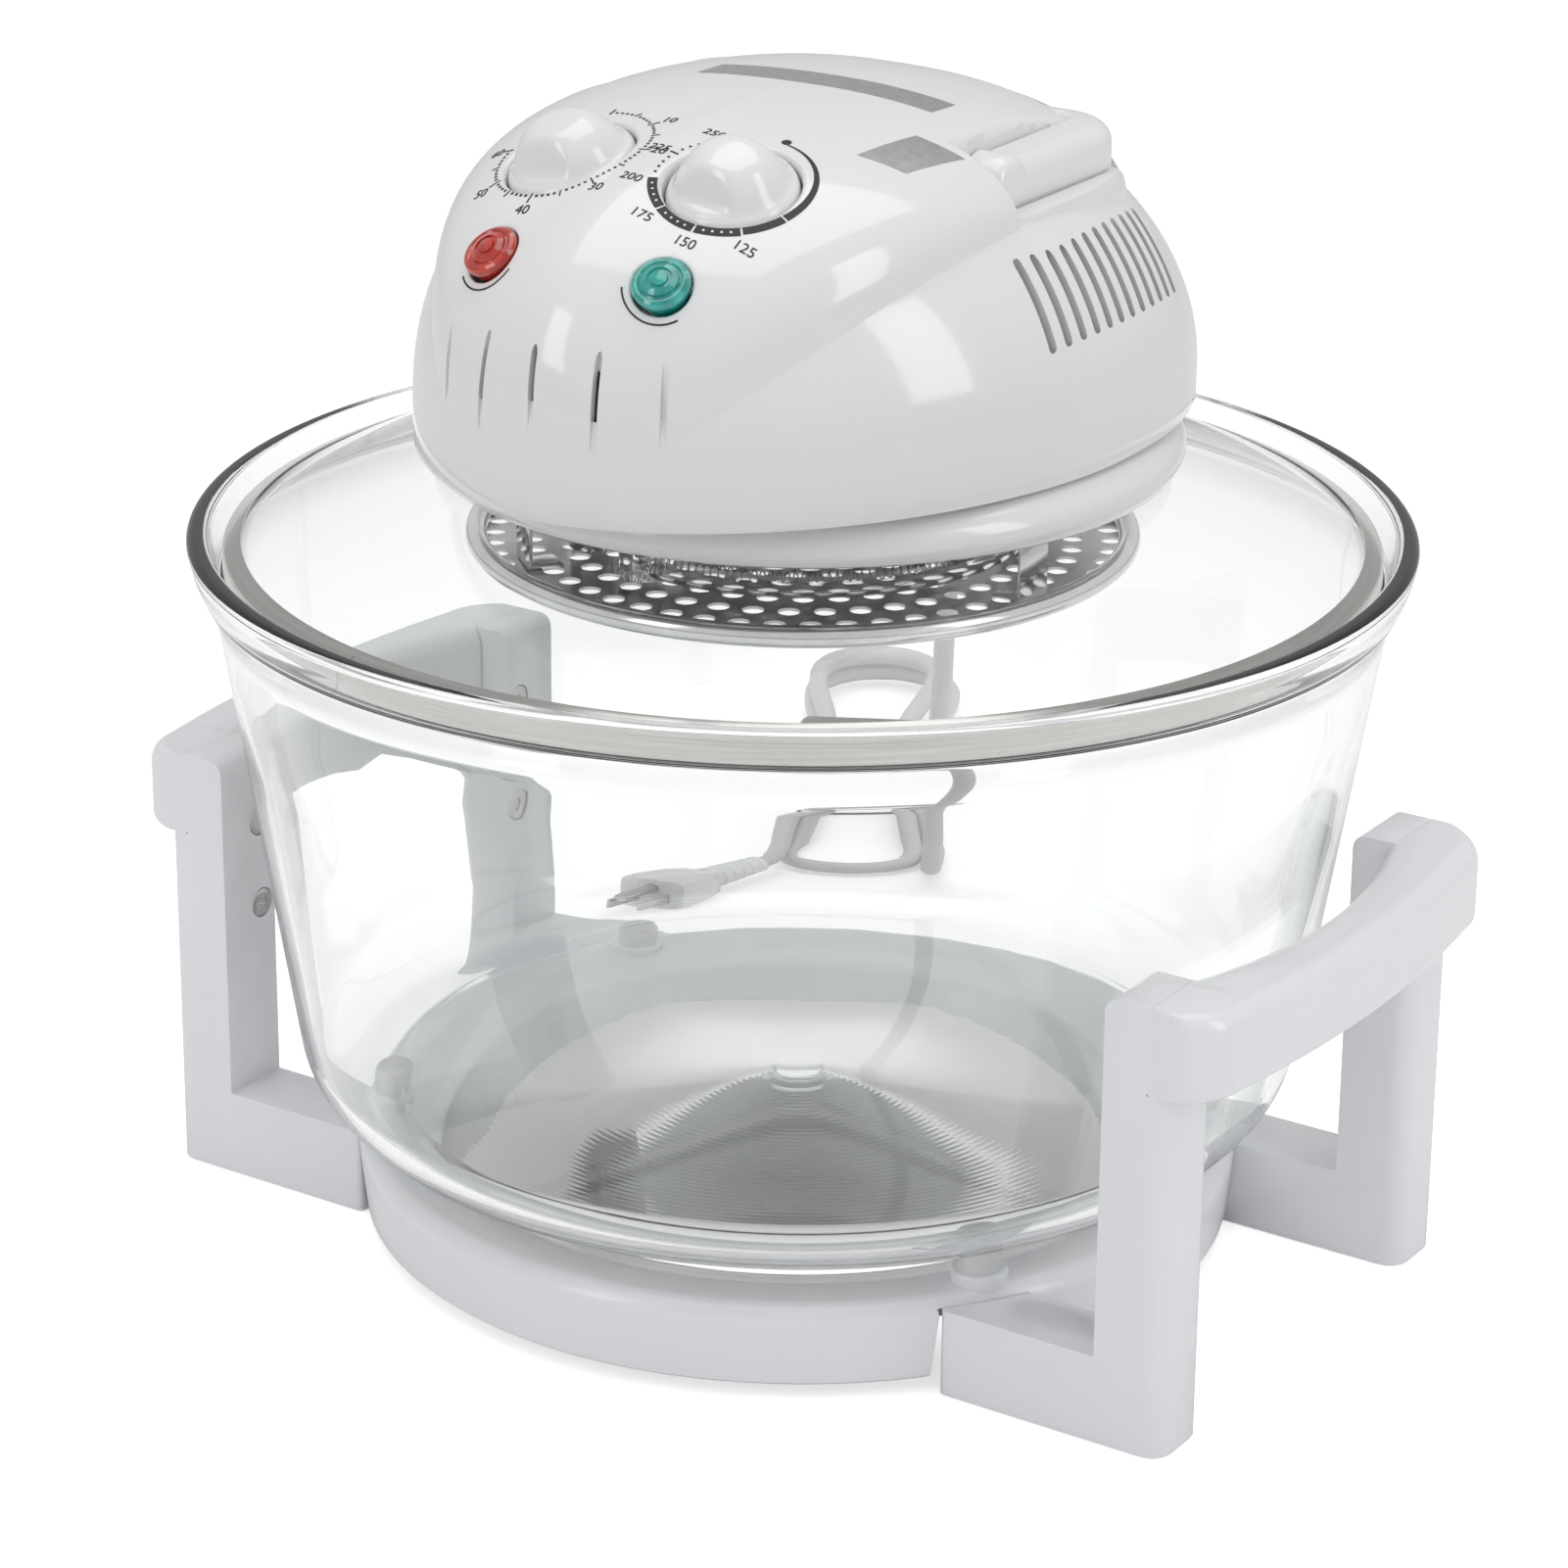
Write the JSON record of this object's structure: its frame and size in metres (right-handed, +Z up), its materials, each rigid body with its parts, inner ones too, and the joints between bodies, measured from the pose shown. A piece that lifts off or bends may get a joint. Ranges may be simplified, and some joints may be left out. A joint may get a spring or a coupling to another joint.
{
  "type": "halogen oven",
  "caption": "Countertop halogen oven: deep glass bowl on a footed stand, lift-off glass lid with a domed fan heater head, dials, fold-down carry handle and mains cord.",
  "frame": {"origin": "on the bowl's axis at the table", "axes": "+Z up, +X towards the right grip, the dials face -Y"},
  "size_m": [0.4151, 0.565, 0.3357],
  "materials": {
    "white_plastic": "gloss",
    "head_plastic": "gloss",
    "screw_steel": "plated",
    "pad_rubber": "matt",
    "bowl_glass": "polished",
    "lid_glass": "polished",
    "tube_glass": "polished",
    "band_steel": "satin",
    "bright_steel": "bright",
    "motor_iron": "matt",
    "timer_brass": "satin",
    "pin_brass": "plated",
    "filament": "matt",
    "cap_ceramic": "matt",
    "gasket_rubber": "matt",
    "fan_plastic": "matt",
    "cord_rubber": "satin",
    "red_lens": "clear gloss",
    "teal_lens": "clear gloss"
  },
  "bodies": {
    "stand": {"base_ring": "white_plastic", "leg_front_right": "white_plastic", "leg_front_left": "white_plastic", "leg_rear_right": "white_plastic", "leg_rear_left": "white_plastic", "handle_right": "white_plastic", "handle_left": "white_plastic", "handle_screws": "screw_steel", "bowl_pads": "pad_rubber"},
    "bowl": {"glass_bowl": "bowl_glass"},
    "lid": {"lid_glass": "lid_glass", "lid_band": "band_steel", "lid_collar": "white_plastic", "lid_gasket": "gasket_rubber", "head_base": "white_plastic", "head_housing": "head_plastic", "top_cover": "head_plastic", "heat_shield": "bright_steel", "reflector": "bright_steel", "halogen_tube": "tube_glass", "tube_caps": "cap_ceramic", "heating_filament": "filament", "guard_plate": "bright_steel", "guard_rim": "bright_steel", "guard_strips": "bright_steel", "fan_motor": "motor_iron", "timer_unit": "timer_brass", "thermostat_unit": "bright_steel", "thermostat_probe": "bright_steel", "safety_switch": "fan_plastic", "terminal_block": "cap_ceramic", "power_lens": "red_lens", "heat_lens": "teal_lens", "pivot_pins": "screw_steel", "cord_boot": "cord_rubber", "cord_lead": "cord_rubber", "cord_hank": "cord_rubber", "cord_tail": "cord_rubber", "hank_tie": "gasket_rubber", "plug_boot": "cord_rubber", "mains_plug": "cord_rubber", "plug_pins": "pin_brass"},
    "flip_handle": {"flip_handle": "head_plastic"},
    "timer_knob": {"timer_knob": "head_plastic"},
    "thermostat_knob": {"thermostat_knob": "head_plastic"},
    "fan": {"fan_shaft": "bright_steel", "impeller": "bright_steel", "cooling_fan": "fan_plastic"}
  },
  "joints": [
    {"name": "bowl_lift", "type": "slide", "parent": "stand", "child": "bowl", "axis": [0, 0, 1], "range_m": [0, 0.25]},
    {"name": "lid_lift", "type": "slide", "parent": "bowl", "child": "lid", "axis": [0, 0, 1], "range_m": [0, 0.25]},
    {"name": "flip_handle_turn", "type": "hinge", "parent": "lid", "child": "flip_handle", "pos_m": [0, -0.0055, 0.3135], "axis": [1, 0, 0], "range_deg": [0, 90]},
    {"name": "timer_turn", "type": "hinge", "parent": "lid", "child": "timer_knob", "pos_m": [-0.0255, -0.0738, 0.3225], "axis": [0.1142, 0.3502, -0.9297], "range_deg": [0, 300]},
    {"name": "thermostat_turn", "type": "hinge", "parent": "lid", "child": "thermostat_knob", "pos_m": [0.0255, -0.0738, 0.3225], "axis": [-0.1142, 0.3502, -0.9297], "range_deg": [0, 285]},
    {"name": "fan_turn", "type": "hinge", "parent": "lid", "child": "fan", "pos_m": [0, 0, 0.25], "axis": [0, 0, 1], "continuous": true}
  ]
}
